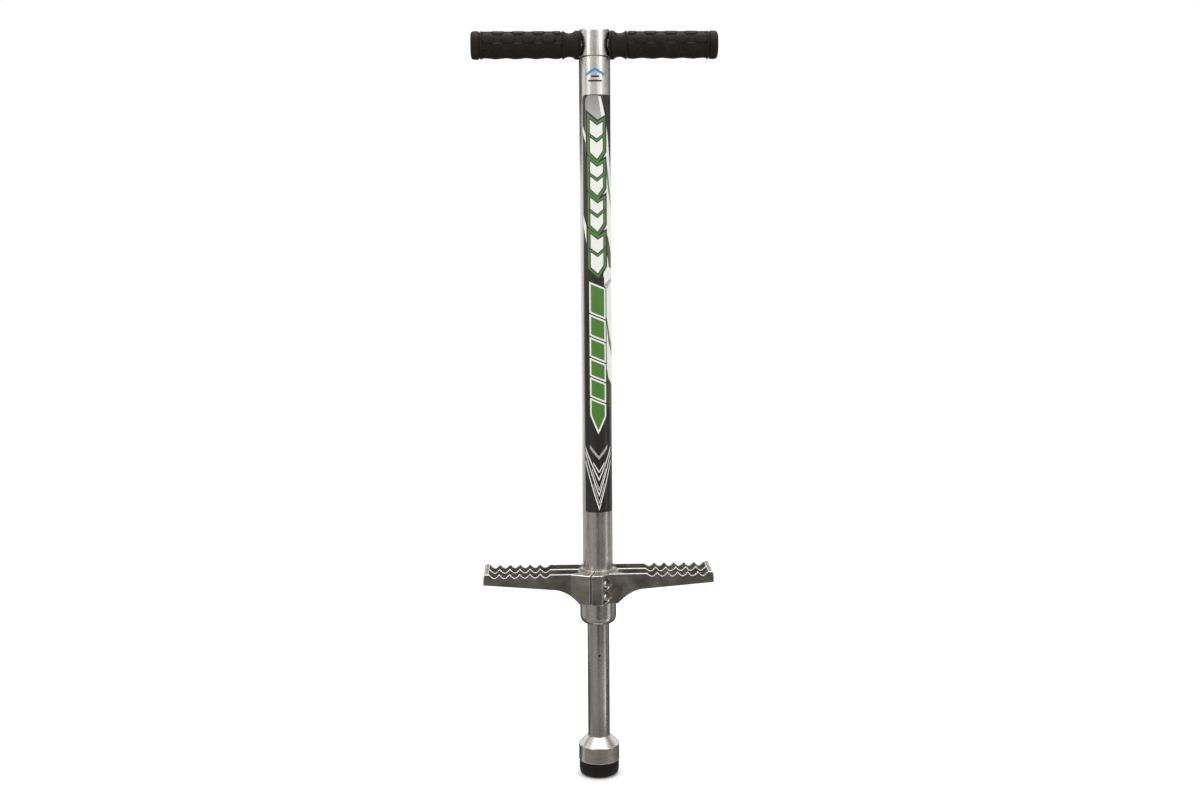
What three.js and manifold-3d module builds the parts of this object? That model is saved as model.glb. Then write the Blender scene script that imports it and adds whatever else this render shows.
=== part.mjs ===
// Pogo stick: a sprung aluminium stick with a T handle, a clamped cast footrest and a rubber foot.
//
// Millimetres, +Z up. The origin is the middle of the foot's flat bottom. The decal and the
// footrest clamp face -Y, which is the front, and the handlebar lies along X.

import * as THREE from 'three';
import { mergeVertices } from 'three/addons/utils/BufferGeometryUtils.js';
import Module from 'manifold-3d';

const wasm = await Module();
wasm.setup();

// ---- driving dimensions -------------------------------------------------------------------

const GAP = 0.3;                  // clearance between pieces that touch
const TOTAL_HEIGHT = 940;
const ROUND = 32;                 // sides of a large round piece
const GRIP_ROUND = 24;
const SMALL_ROUND = 16;           // sides of a pin, screw or bore

const TUBE_R = 19;                // frame tube, 38 mm outside
const TUBE_WALL = 1.5;
const TUBE_IN_R = TUBE_R - TUBE_WALL;
const PLUG_R = TUBE_IN_R - GAP;   // anything that fits inside the frame tube

const PISTON_R = 14;              // piston tube, 28 mm outside
const PISTON_WALL = 2;
const BORE_R = PISTON_R + GAP;    // anything that fits round the piston tube

const BAR_R = 11.1;               // handlebar, 22.2 mm outside
const BAR_WALL = 1.6;
const BAR_Z = 921;
const BAR_HALF = 142.3;
const HANDLE_HALF = 150;          // to the outer end of a grip

const CAP_SEAM_Z = 906.5;         // where the head cap meets the frame tube
const SPIGOT_LENGTH = 36;         // head cap's plug inside the frame tube
const CAP_FILLET = 4;
const RIVET_ZS = [895, 880];      // blind rivets at the back, through the tube into the plug
const RIVET_R = 2;
const SET_SCREW_R = 3;            // M6 grub screws

const GRIP_R = 16.2;
const GRIP_FLANGE_R = 17.5;
const GRIP_START = 22;            // inner end of a grip, measured from the stick's axis
const RING_THICKNESS = 2.3;       // rubber ring between a grip and the head cap
const RING_BEND_R = 46;           // how sharply that ring is bent round the head cap

const DECAL_THICKNESS = 0.2;
const DECAL_R = TUBE_R + GAP;
const DECAL_BOTTOM_Z = 346;
const DECAL_TOP_Z = 861;
const DECAL_FROM = -53;           // degrees round the tube from the front, towards -X
const DECAL_TO = 73;              // degrees round the tube from the front, towards +X
const BADGE_BOTTOM_Z = 868;
const BADGE_TOP_Z = 898;
const BADGE_FROM = -57;
const BADGE_TO = 57;

const CAST_BOTTOM_Z = 231.5;      // footrest casting
const CAST_TOP_Z = 270;
const CAST_HUB_R = 26;
const ARM_HALF = 145;
const ARM_HALF_DEPTH = 29.5;
const RIB = 4;                    // thickness of the arms' walls
const CREST_Z = 271;
const VALLEY_Z = 266;
const RAIL_Z = 269.8;             // the smooth rails between the hub and the teeth
const TOOTH_PITCH = 12.8;
const TEETH = 6;
const FIRST_VALLEY_X = 67;
const ARM_END_BOTTOM_Z = 257;
const GUSSET_START = new THREE.Vector2(53, 249.4);
const GUSSET_END = new THREE.Vector2(24, CAST_BOTTOM_Z);
const CLAMP_FRONT_Y = -41;
const CLAMP_BOLT_ZS = [257.5, 241];
const CLAMP_BOLT_AXIS_R = 30.5;   // distance of a clamp bolt's axis from the tube's axis
const SLOT_ANGLE = 14.5;          // degrees from the front, towards -X
const SLOT_WIDTH = 1.8;
const BOLT_R = 3;
const BOLT_HEAD_R = 5;
const BOLT_HEAD_HEIGHT = 6;
const BOLT_TIP = -11;             // along the bolt's axis, from the middle of the slot
const BOLT_SEAT = 11.5;

const COLLAR_R = 23;              // lower end cap
const COLLAR_BOTTOM_Z = 200;
const COLLAR_TOP_Z = CAST_BOTTOM_Z - GAP;
const COLLAR_FLOOR = 4;
const COLLAR_FILLET = 9;
const TUBE_BOTTOM_Z = COLLAR_BOTTOM_Z + COLLAR_FLOOR + GAP;

const BUSHING_TOP_Z = 256;
const BUMPER_TOP_Z = 266.3;
const HEAD_BOTTOM_Z = BUMPER_TOP_Z + GAP;
const PISTON_HEAD_HEIGHT = 19.4;
const PISTON_HEAD_ROOF = 4;
const HEAD_PIN_R = 2.5;
const HEAD_PIN_Z = HEAD_BOTTOM_Z + 7.5;
const WASHER_THICKNESS = 2;
const WASHER_BOTTOM_Z = HEAD_BOTTOM_Z + PISTON_HEAD_HEIGHT + GAP;
const SPRING_BOTTOM_Z = WASHER_BOTTOM_Z + WASHER_THICKNESS + GAP;
const SPRING_LENGTH = 330;
const SPRING_TURNS = 24;
const WIRE_R = 2.25;
const COIL_R = 14.5;              // to the middle of the wire
const SEAT_BOTTOM_Z = SPRING_BOTTOM_Z + SPRING_LENGTH + GAP;
const SEAT_HEIGHT = 22;
const SEAT_PIN_Z = SEAT_BOTTOM_Z + 11;
const SEAT_PIN_R = 3;

const FOOT_R = 26;                // aluminium foot ferrule
const FERRULE_BOTTOM_Z = 19.8;
const FERRULE_SHOULDER_Z = 40;
const FERRULE_TOP_Z = 51.5;
const FERRULE_POCKET_Z = 32.2;
const FERRULE_POCKET_R = 22;
const RUBBER_R = 25.5;
const RUBBER_FLAT_R = 19.5;
const RUBBER_FILLET = 6;
const RUBBER_TOP_Z = FERRULE_BOTTOM_Z - GAP;
const FOOT_DISC_THICKNESS = 2.4;
const PISTON_BOTTOM_Z = FERRULE_POCKET_Z;
const FOOT_SCREW_Z = 36;
const FOOT_SCREW_LENGTH = 10;
const VENT_R = 1.25;              // small vent hole in the piston tube's front
const VENT_X = 1;
const VENT_Z = 159.5;

// ---- materials ----------------------------------------------------------------------------

function material(color, roughness, metalness) {
  return new THREE.MeshStandardMaterial({ color, roughness, metalness });
}

const BRUSHED = material(0xcfcdca, 0.32, 1);
const CAST = material(0x9c978c, 0.4, 1);
const TURNED = material(0xb9b7b2, 0.3, 1);
const STEEL = material(0x8a8c8e, 0.35, 1);
const SPRING_STEEL = material(0x4a4d52, 0.4, 1);
const BLACK_RUBBER = material(0x1b1a19, 0.7, 0);
const NYLON = material(0xe4e1d6, 0.5, 0);
const PRINT = material(0x4fae3c, 0.35, 0);

// ---- solids: closed geometry, joined and cut ------------------------------------------------

function toSolid(geometry) {
  const bare = geometry.index ? geometry.clone() : geometry;
  bare.deleteAttribute('normal');
  bare.deleteAttribute('uv');
  const merged = mergeVertices(bare, 1e-4);
  return new wasm.Manifold(new wasm.Mesh({
    numProp: 3,
    vertProperties: new Float32Array(merged.attributes.position.array),
    triVerts: new Uint32Array(merged.index.array),
  }));
}

function toGeometry(solid) {
  const mesh = solid.getMesh();
  const geometry = new THREE.BufferGeometry();
  geometry.setAttribute('position', new THREE.BufferAttribute(mesh.vertProperties, 3));
  geometry.setIndex(new THREE.BufferAttribute(mesh.triVerts, 1));
  return geometry;
}

// Cuts each tool out of a geometry.
function cut(geometry, ...tools) {
  let solid = toSolid(geometry);
  for (const tool of tools) {
    solid = solid.subtract(toSolid(tool));
  }
  return toGeometry(solid);
}

function join(first, ...others) {
  let solid = toSolid(first);
  for (const other of others) {
    solid = solid.add(toSolid(other));
  }
  return toGeometry(solid);
}

// ---- basic shapes -------------------------------------------------------------------------

// Turns a profile of [radius, height] points about Z. The outer side runs upwards.
function turned(profile, sides = ROUND) {
  const points = profile.map(([r, z]) => new THREE.Vector2(r, z));
  return new THREE.LatheGeometry(points, sides).rotateX(Math.PI / 2);
}

function ring(innerR, outerR, bottom, top, sides = ROUND) {
  return turned([
    [innerR, bottom], [outerR, bottom], [outerR, top], [innerR, top], [innerR, bottom],
  ], sides);
}

function rod(radius, bottom, top, sides = SMALL_ROUND) {
  return turned([[0, bottom], [radius, bottom], [radius, top], [0, top]], sides);
}

// Points of an arc in a profile, from one angle to another in degrees.
function arc(centreR, centreZ, radius, from, to, steps) {
  const points = [];
  for (let i = 0; i <= steps; i += 1) {
    const angle = THREE.MathUtils.degToRad(from + (to - from) * i / steps);
    points.push([centreR + radius * Math.cos(angle), centreZ + radius * Math.sin(angle)]);
  }
  return points;
}

// A rod along X or Y, given by its two ends.
function rodAlongX(radius, from, to, y, z, sides = SMALL_ROUND) {
  return rod(radius, from, to, sides).rotateY(Math.PI / 2).translate(0, y, z);
}

function rodAlongY(radius, from, to, x, z, sides = SMALL_ROUND) {
  return rod(radius, from, to, sides).rotateX(-Math.PI / 2).translate(x, 0, z);
}

// A flat outline in X and Y raised from bottom to top.
function prism(outline, bottom, top) {
  const shape = new THREE.Shape(outline.map(([x, y]) => new THREE.Vector2(x, y)));
  return new THREE.ExtrudeGeometry(shape, { depth: top - bottom, bevelEnabled: false })
    .translate(0, 0, bottom);
}

// An outline in X and Z that runs from one Y to another.
function slab(outline, front, back) {
  const shape = new THREE.Shape(outline.map(([x, z]) => new THREE.Vector2(x, z)));
  return new THREE.ExtrudeGeometry(shape, { depth: back - front, bevelEnabled: false })
    .rotateX(Math.PI / 2)
    .translate(0, back, 0);
}

// ---- frame: tube, head cap, handlebar -------------------------------------------------------

function rivetBore(z) {
  return rodAlongY(RIVET_R + GAP, TUBE_IN_R - 6, TUBE_R + 2, 0, z);
}

function frameTube() {
  const tube = ring(TUBE_IN_R, TUBE_R, TUBE_BOTTOM_Z, CAP_SEAM_Z - GAP);
  const pinBore = rodAlongY(SEAT_PIN_R + GAP, -TUBE_R - 2, TUBE_R + 2, 0, SEAT_PIN_Z);
  return cut(tube, pinBore, ...RIVET_ZS.map(rivetBore));
}

function headCap() {
  const filletZ = TOTAL_HEIGHT - CAP_FILLET;
  const body = turned([
    [0, CAP_SEAM_Z - SPIGOT_LENGTH],
    [PLUG_R - 1, CAP_SEAM_Z - SPIGOT_LENGTH],
    [PLUG_R, CAP_SEAM_Z - SPIGOT_LENGTH + 1],
    [PLUG_R, CAP_SEAM_Z],
    [TUBE_R, CAP_SEAM_Z],
    ...arc(TUBE_R - CAP_FILLET, filletZ, CAP_FILLET, 0, 90, 4),
    [0, TOTAL_HEIGHT],
  ]);
  const barBore = rodAlongX(BAR_R + GAP, -TUBE_R - 2, TUBE_R + 2, 0, BAR_Z, 24);
  const screwBore = rod(SET_SCREW_R + GAP, BAR_Z, TOTAL_HEIGHT + 1);
  return cut(body, barBore, screwBore, ...RIVET_ZS.map(rivetBore));
}

// A blind rivet: a low domed head outside the tube and a shank in the cap's plug.
function headRivet(z) {
  const headBottom = TUBE_R + 0.1;
  return turned([
    [0, TUBE_IN_R - 5.5], [RIVET_R, TUBE_IN_R - 5.5], [RIVET_R, headBottom],
    [4, headBottom], [3.6, headBottom + 0.8], [2, headBottom + 1.3], [0, headBottom + 1.4],
  ], SMALL_ROUND).rotateX(-Math.PI / 2).translate(0, 0, z);
}

function handlebarTube() {
  return ring(BAR_R - BAR_WALL, BAR_R, -BAR_HALF, BAR_HALF, GRIP_ROUND).rotateY(Math.PI / 2)
    .translate(0, 0, BAR_Z);
}

// A grub screw with a hexagon socket in its upper end.
function setScrew(length) {
  const socket = rod(1.6, length - 3, length + 1, 6);
  return cut(rod(SET_SCREW_R, 0, length), socket);
}

// ---- grips --------------------------------------------------------------------------------

// The profile runs from the bore, round the inner end and out to the closed outer end.
function grip() {
  const neckR = GRIP_R - 2;
  const endR = GRIP_R + 1;
  const boreEnd = BAR_HALF + GAP;
  return turned([
    [0, boreEnd], [BAR_R + GAP, boreEnd], [BAR_R + GAP, GRIP_START],
    [GRIP_FLANGE_R - 0.6, GRIP_START], [GRIP_FLANGE_R, GRIP_START + 0.7],
    [GRIP_FLANGE_R, GRIP_START + 2.6], [neckR + 0.6, GRIP_START + 5.4],
    [neckR, GRIP_START + 8], [neckR + 0.5, GRIP_START + 12],
    [GRIP_R + 0.8, GRIP_START + 15.4], [GRIP_R + 0.8, GRIP_START + 16.6],
    [GRIP_R, GRIP_START + 17.6], [GRIP_R, HANDLE_HALF - 13], [endR - 0.2, HANDLE_HALF - 11.8],
    [endR - 0.2, HANDLE_HALF - 10], [GRIP_R - 0.6, HANDLE_HALF - 8.6],
    [GRIP_R - 0.6, HANDLE_HALF - 7.4], [endR, HANDLE_HALF - 6.6],
    ...arc(endR - 4, HANDLE_HALF - 4, 4, 0, 90, 3), [0, HANDLE_HALF],
  ], GRIP_ROUND);
}

// A flat rubber ring whose front and back are pressed round the head cap.
function gripRing() {
  const flat = ring(BAR_R + 1.2, GRIP_FLANGE_R, 0, RING_THICKNESS, GRIP_ROUND);
  const bend = flat.attributes.position;
  for (let i = 0; i < bend.count; i += 1) {
    const y = bend.getY(i);
    const sag = RING_BEND_R - Math.sqrt(RING_BEND_R ** 2 - y ** 2);
    bend.setZ(i, bend.getZ(i) - sag);
  }
  return flat;
}

// ---- printed film -------------------------------------------------------------------------

// A thin film round the tube's front between two angles from the front, in degrees.
function film(from, to, bottom, top) {
  const around = (radius, start, end) => arc(0, 0, radius, start - 90, end - 90, 14);
  const outline = [
    ...around(DECAL_R + DECAL_THICKNESS, from, to),
    ...around(DECAL_R, to, from),
  ];
  return prism(outline, bottom, top);
}

// ---- footrest casting -----------------------------------------------------------------------

// The toothed upper edge of an arm, from the hub out to its end.
function toothedEdge() {
  const points = [];
  const half = TOOTH_PITCH / 2;
  const steps = 4;
  for (let tooth = 0; tooth < TEETH; tooth += 1) {
    const middle = FIRST_VALLEY_X + tooth * TOOTH_PITCH;
    for (let i = -steps; i < steps; i += 1) {
      const part = i / steps;
      const crest = tooth === 0 && part < 0 ? RAIL_Z : CREST_Z;
      points.push([middle + part * half, VALLEY_Z + (crest - VALLEY_Z) * Math.abs(part) ** 1.6]);
    }
  }
  points.push([FIRST_VALLEY_X + (TEETH - 0.5) * TOOTH_PITCH, CREST_Z]);
  return points;
}

// The curved underside between the hub and an arm, in X and Z.
function gusset() {
  const curve = new THREE.QuadraticBezierCurve(GUSSET_END, new THREE.Vector2(38, 246.5), GUSSET_START);
  return curve.getPoints(5).map((point) => [point.x, point.y]);
}

// One wall of an arm in X and Z: teeth above, and a curved gusset down to the hub below.
function armWallOutline(innerX) {
  return [
    [innerX, CAST_BOTTOM_Z],
    ...gusset(),
    [ARM_HALF, ARM_END_BOTTOM_Z],
    [ARM_HALF - 0.8, CREST_Z - 3],
    [ARM_HALF - 3, CREST_Z - 0.4],
    ...toothedEdge().reverse(),
    [innerX, RAIL_Z],
  ];
}

// The wall that closes an arm's outer end.
function armEndWall() {
  return slab([
    [ARM_HALF - RIB - 1.5, ARM_END_BOTTOM_Z], [ARM_HALF, ARM_END_BOTTOM_Z],
    [ARM_HALF - 0.8, CREST_Z - 3], [ARM_HALF - 3, CREST_Z - 0.4],
    [ARM_HALF - RIB - 3, CREST_Z - 0.4],
  ], -ARM_HALF_DEPTH, ARM_HALF_DEPTH);
}

function arm() {
  const wall = armWallOutline(10);
  const front = slab(wall, -ARM_HALF_DEPTH, -ARM_HALF_DEPTH + RIB);
  const middle = slab(armWallOutline(21), -RIB / 2, RIB / 2);
  const back = slab(wall, ARM_HALF_DEPTH - RIB, ARM_HALF_DEPTH);
  return join(front, middle, back, armEndWall());
}

// A tool that takes the clamp's lower corner off, just under the gusset.
function cornerTrim() {
  const under = gusset().map(([x, z]) => [x, z - 0.05]);
  return slab([...under, [GUSSET_START.x, CAST_BOTTOM_Z - 2], [GUSSET_END.x, CAST_BOTTOM_Z - 2]], -45, 45);
}

// A tool that runs along a clamp bolt's axis, which crosses the slot at a right angle.
function alongClampBolt(geometry, z) {
  const angle = THREE.MathUtils.degToRad(SLOT_ANGLE);
  return geometry.rotateY(Math.PI / 2)
    .translate(0, -CLAMP_BOLT_AXIS_R, z)
    .rotateZ(-angle);
}

function clampBoltBore(z) {
  const shank = alongClampBolt(rod(BOLT_R + GAP, BOLT_TIP - GAP, BOLT_SEAT + 1), z);
  const recess = alongClampBolt(rod(BOLT_HEAD_R + 1, BOLT_SEAT - GAP, 40), z);
  return [shank, recess];
}

function footrestCasting() {
  const rightArm = arm();
  const leftArm = arm().rotateZ(Math.PI);
  const hub = turned([
    [0, CAST_BOTTOM_Z], [CAST_HUB_R - 1, CAST_BOTTOM_Z], [CAST_HUB_R, CAST_BOTTOM_Z + 1],
    [CAST_HUB_R, CAST_TOP_Z - 0.5], [TUBE_R + 2.5, CAST_TOP_Z], [0, CAST_TOP_Z],
  ]);
  const back = prism([
    [-15, 18], [15, 18], [23, 27], [36, ARM_HALF_DEPTH], [-36, ARM_HALF_DEPTH], [-23, 27],
  ], CAST_BOTTOM_Z, RAIL_Z);
  const clamp = prism([
    [-36, -ARM_HALF_DEPTH], [-27, -33.5], [-11, CLAMP_FRONT_Y], [4, CLAMP_FRONT_Y],
    [12, -33], [20, -31], [36, -ARM_HALF_DEPTH], [22, -16], [-22, -16],
  ], CAST_BOTTOM_Z, RAIL_Z);
  const body = join(hub, back, clamp, rightArm, leftArm);
  const tubeBore = rod(TUBE_R + GAP, CAST_BOTTOM_Z - 1, CREST_Z + 1, ROUND);
  const slot = new THREE.BoxGeometry(SLOT_WIDTH, 40, 60)
    .translate(0, -TUBE_R - 19, (CAST_BOTTOM_Z + CAST_TOP_Z) / 2)
    .rotateZ(-THREE.MathUtils.degToRad(SLOT_ANGLE));
  const trims = [cornerTrim(), cornerTrim().rotateZ(Math.PI)];
  return cut(body, tubeBore, slot, ...trims, ...CLAMP_BOLT_ZS.flatMap(clampBoltBore));
}

// A socket head cap screw, built along its own axis with the middle of the slot at zero.
function clampBolt(z) {
  const headTop = BOLT_SEAT + BOLT_HEAD_HEIGHT;
  const bolt = turned([
    [0, BOLT_TIP], [BOLT_R, BOLT_TIP], [BOLT_R, BOLT_SEAT], [BOLT_HEAD_R, BOLT_SEAT],
    [BOLT_HEAD_R, headTop - 0.5], [BOLT_HEAD_R - 0.5, headTop], [0, headTop],
  ], SMALL_ROUND);
  return alongClampBolt(cut(bolt, rod(2.9, headTop - 3.5, headTop + 1, 6)), z);
}

// ---- lower end of the frame -----------------------------------------------------------------

function lowerCap() {
  const floorTop = COLLAR_BOTTOM_Z + COLLAR_FLOOR;
  return turned([
    [PISTON_R + 0.5, COLLAR_BOTTOM_Z + 0.5],
    ...arc(COLLAR_R - COLLAR_FILLET, COLLAR_BOTTOM_Z + COLLAR_FILLET, COLLAR_FILLET, -80, 0, 6),
    [COLLAR_R, COLLAR_TOP_Z - 1.5], [COLLAR_R - 1.5, COLLAR_TOP_Z], [TUBE_R + GAP, COLLAR_TOP_Z],
    [TUBE_R + GAP, floorTop], [PISTON_R + 0.5, floorTop],
    [PISTON_R + 0.5, COLLAR_BOTTOM_Z + 0.5],
  ]);
}

function upperSpringSeat() {
  const spigotR = COIL_R - WIRE_R - 2;
  const body = turned([
    [0, SEAT_BOTTOM_Z - 12], [spigotR - 1, SEAT_BOTTOM_Z - 12], [spigotR, SEAT_BOTTOM_Z - 11],
    [spigotR, SEAT_BOTTOM_Z], [PLUG_R, SEAT_BOTTOM_Z], [PLUG_R, SEAT_BOTTOM_Z + SEAT_HEIGHT],
    [0, SEAT_BOTTOM_Z + SEAT_HEIGHT],
  ], 32);
  return cut(body, rodAlongY(SEAT_PIN_R + GAP, -TUBE_R, TUBE_R, 0, SEAT_PIN_Z));
}

// The wire's middle line: one closed turn at each end, and an even pitch between them.
class SpringLine extends THREE.Curve {
  getPoint(t, target = new THREE.Vector3()) {
    const turn = t * SPRING_TURNS;
    const closed = 2 * WIRE_R + 0.4;
    const rise = SPRING_LENGTH - 2 * WIRE_R;
    const pitch = (rise - 2 * closed) / (SPRING_TURNS - 2);
    const middle = THREE.MathUtils.clamp(turn - 1, 0, SPRING_TURNS - 2);
    const height = closed * (turn - middle) + pitch * middle;
    const angle = turn * 2 * Math.PI;
    return target.set(COIL_R * Math.cos(angle), COIL_R * Math.sin(angle), WIRE_R + height);
  }
}

function mainSpring() {
  const line = new SpringLine();
  line.arcLengthDivisions = SPRING_TURNS * 60;
  const wire = new THREE.Shape();
  wire.absarc(0, 0, WIRE_R, 0, 2 * Math.PI, false);
  return new THREE.ExtrudeGeometry(wire, {
    steps: SPRING_TURNS * 8, curveSegments: 3, extrudePath: line, bevelEnabled: false,
  }).translate(0, 0, SPRING_BOTTOM_Z);
}

// ---- piston and foot ------------------------------------------------------------------------

function headPinBore() {
  return rodAlongX(HEAD_PIN_R + GAP, -PLUG_R - 1, PLUG_R + 1, 0, HEAD_PIN_Z);
}

function pistonTube() {
  const top = HEAD_BOTTOM_Z + PISTON_HEAD_HEIGHT - PISTON_HEAD_ROOF - GAP;
  const tube = ring(PISTON_R - PISTON_WALL, PISTON_R, PISTON_BOTTOM_Z, top);
  const vent = rodAlongY(VENT_R, -PISTON_R - 2, 0, VENT_X, VENT_Z, 10);
  return cut(tube, headPinBore(), vent);
}

function pistonHead() {
  const top = HEAD_BOTTOM_Z + PISTON_HEAD_HEIGHT;
  const roof = top - PISTON_HEAD_ROOF;
  const body = turned([
    [BORE_R, HEAD_BOTTOM_Z], [PLUG_R - 0.3, HEAD_BOTTOM_Z], [PLUG_R - 0.3, top], [6, top],
    [6, roof], [BORE_R, roof], [BORE_R, HEAD_BOTTOM_Z],
  ]);
  return cut(body, headPinBore());
}

function footFerrule() {
  const screwBore = rodAlongY(SET_SCREW_R + GAP, PISTON_R, FOOT_R + 2, 0, FOOT_SCREW_Z);
  const body = turned([
    [FERRULE_POCKET_R, FERRULE_BOTTOM_Z], [FOOT_R - 0.4, FERRULE_BOTTOM_Z],
    [FOOT_R, FERRULE_BOTTOM_Z + 0.6], [FOOT_R, FERRULE_SHOULDER_Z - 0.8],
    [FOOT_R - 0.8, FERRULE_SHOULDER_Z], [PISTON_R + 1.4, FERRULE_TOP_Z - 0.6],
    [PISTON_R + 1, FERRULE_TOP_Z], [BORE_R, FERRULE_TOP_Z], [BORE_R, FERRULE_POCKET_Z],
    [FERRULE_POCKET_R, FERRULE_POCKET_Z], [FERRULE_POCKET_R, FERRULE_BOTTOM_Z],
  ]);
  return cut(body, screwBore);
}

function rubberFoot() {
  const plugTop = FERRULE_POCKET_Z - FOOT_DISC_THICKNESS - 2 * GAP;
  return turned([
    [0, 0], [RUBBER_FLAT_R, 0],
    ...arc(RUBBER_R - RUBBER_FILLET, RUBBER_FILLET, RUBBER_FILLET, -75, 0, 4),
    [RUBBER_R, RUBBER_TOP_Z - 0.8], [RUBBER_R - 0.8, RUBBER_TOP_Z],
    [FERRULE_POCKET_R - GAP, RUBBER_TOP_Z], [FERRULE_POCKET_R - GAP, plugTop], [0, plugTop],
  ]);
}

function footSetScrew() {
  return setScrew(FOOT_SCREW_LENGTH).rotateX(-Math.PI / 2)
    .translate(0, BORE_R + 0.1, FOOT_SCREW_Z);
}

// ---- assembly -----------------------------------------------------------------------------

const pogoStick = new THREE.Group();

function add(parent, name, geometry, look) {
  const mesh = new THREE.Mesh(geometry, look);
  mesh.name = name;
  parent.add(mesh);
  return mesh;
}

function addFrame() {
  const frame = new THREE.Group();
  pogoStick.add(frame);
  add(frame, 'frame_tube', frameTube(), BRUSHED);
  add(frame, 'head_cap', headCap(), BRUSHED);
  add(frame, 'head_rivet_upper', headRivet(RIVET_ZS[0]), STEEL);
  add(frame, 'head_rivet_lower', headRivet(RIVET_ZS[1]), STEEL);
  add(frame, 'decal_wrap', film(DECAL_FROM, DECAL_TO, DECAL_BOTTOM_Z, DECAL_TOP_Z), PRINT);
  add(frame, 'badge_decal', film(BADGE_FROM, BADGE_TO, BADGE_BOTTOM_Z, BADGE_TOP_Z), PRINT);
  add(frame, 'lower_cap', lowerCap(), TURNED);
}

function addHandle() {
  const handle = new THREE.Group();
  pogoStick.add(handle);
  add(handle, 'handlebar_tube', handlebarTube(), BRUSHED);
  const screwTop = TOTAL_HEIGHT - 0.8;
  const screwBottom = BAR_Z + BAR_R + GAP;
  const screw = add(handle, 'handlebar_set_screw', setScrew(screwTop - screwBottom), STEEL);
  screw.position.z = screwBottom;
  for (const [side, turn] of [['right', 1], ['left', -1]]) {
    const rubber = new THREE.Group();
    rubber.position.z = BAR_Z;
    rubber.rotation.y = turn * Math.PI / 2;
    handle.add(rubber);
    add(rubber, `${side}_grip`, grip(), BLACK_RUBBER);
    const packing = add(rubber, `${side}_grip_ring`, gripRing(), BLACK_RUBBER);
    packing.position.z = TUBE_R + GAP;
  }
}

function addFootrest() {
  const footrest = new THREE.Group();
  pogoStick.add(footrest);
  add(footrest, 'footrest_casting', footrestCasting(), CAST);
  add(footrest, 'clamp_bolt_upper', clampBolt(CLAMP_BOLT_ZS[0]), STEEL);
  add(footrest, 'clamp_bolt_lower', clampBolt(CLAMP_BOLT_ZS[1]), STEEL);
}

function addSpringParts() {
  const spring = new THREE.Group();
  pogoStick.add(spring);
  add(spring, 'guide_bushing', ring(BORE_R, PLUG_R, TUBE_BOTTOM_Z, BUSHING_TOP_Z), NYLON);
  add(spring, 'rebound_bumper',
    ring(BORE_R, PLUG_R, BUSHING_TOP_Z + GAP, BUMPER_TOP_Z), BLACK_RUBBER);
  const washerTop = WASHER_BOTTOM_Z + WASHER_THICKNESS;
  add(spring, 'thrust_washer', ring(6, PLUG_R - 0.3, WASHER_BOTTOM_Z, washerTop, 32), STEEL);
  add(spring, 'main_spring', mainSpring(), SPRING_STEEL);
  add(spring, 'upper_spring_seat', upperSpringSeat(), TURNED);
  add(spring, 'seat_pin',
    rodAlongY(SEAT_PIN_R, -TUBE_R + 0.1, TUBE_R - 0.1, 0, SEAT_PIN_Z), STEEL);
}

function addPiston() {
  const piston = new THREE.Group();
  pogoStick.add(piston);
  add(piston, 'piston_tube', pistonTube(), BRUSHED);
  add(piston, 'piston_head', pistonHead(), NYLON);
  add(piston, 'piston_head_pin',
    rodAlongX(HEAD_PIN_R, -PLUG_R + 0.6, PLUG_R - 0.6, 0, HEAD_PIN_Z), STEEL);
  add(piston, 'foot_ferrule', footFerrule(), TURNED);
  const discTop = FERRULE_POCKET_Z - GAP;
  add(piston, 'foot_disc', rod(FERRULE_POCKET_R - GAP, discTop - FOOT_DISC_THICKNESS, discTop, 32),
    STEEL);
  add(piston, 'rubber_foot', rubberFoot(), BLACK_RUBBER);
  add(piston, 'foot_set_screw', footSetScrew(), STEEL);
}

addFrame();
addHandle();
addFootrest();
addSpringParts();
addPiston();

export default pogoStick;
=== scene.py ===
# The pogo stick's looks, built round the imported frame. The frame's mesh is in metres; the pieces
# here are drawn in millimetres and turned into metres when they are finished.
from math import cos, floor, pi, radians, sin, sqrt

import bmesh
import bpy
from mathutils import Matrix, Vector


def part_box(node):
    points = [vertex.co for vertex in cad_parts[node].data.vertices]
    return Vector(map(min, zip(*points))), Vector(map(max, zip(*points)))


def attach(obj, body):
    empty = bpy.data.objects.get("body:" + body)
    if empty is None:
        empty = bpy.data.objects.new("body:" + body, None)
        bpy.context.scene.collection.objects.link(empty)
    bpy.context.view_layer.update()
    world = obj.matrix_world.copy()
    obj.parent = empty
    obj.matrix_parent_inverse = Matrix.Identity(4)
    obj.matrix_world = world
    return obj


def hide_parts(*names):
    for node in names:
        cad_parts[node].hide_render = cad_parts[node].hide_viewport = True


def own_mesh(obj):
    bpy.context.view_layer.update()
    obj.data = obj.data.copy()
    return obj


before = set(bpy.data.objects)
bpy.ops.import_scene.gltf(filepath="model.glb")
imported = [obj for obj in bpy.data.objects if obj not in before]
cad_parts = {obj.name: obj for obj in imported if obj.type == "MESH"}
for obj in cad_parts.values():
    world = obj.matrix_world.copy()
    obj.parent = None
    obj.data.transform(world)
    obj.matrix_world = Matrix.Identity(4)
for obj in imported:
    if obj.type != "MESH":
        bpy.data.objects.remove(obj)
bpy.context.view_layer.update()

MM = 0.001
AROUND_X = Matrix.Rotation(pi / 2, 4, "Y")  # turns the Z axis onto X
AROUND_Y = Matrix.Rotation(-pi / 2, 4, "X")  # turns the Z axis onto Y


# ---- places from the frame ----

def low(node):
    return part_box(node)[0] / MM


def high(node):
    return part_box(node)[1] / MM


def span_z(node):
    return low(node).z, high(node).z


def middle_z(node):
    return (low(node).z + high(node).z) / 2


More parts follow.
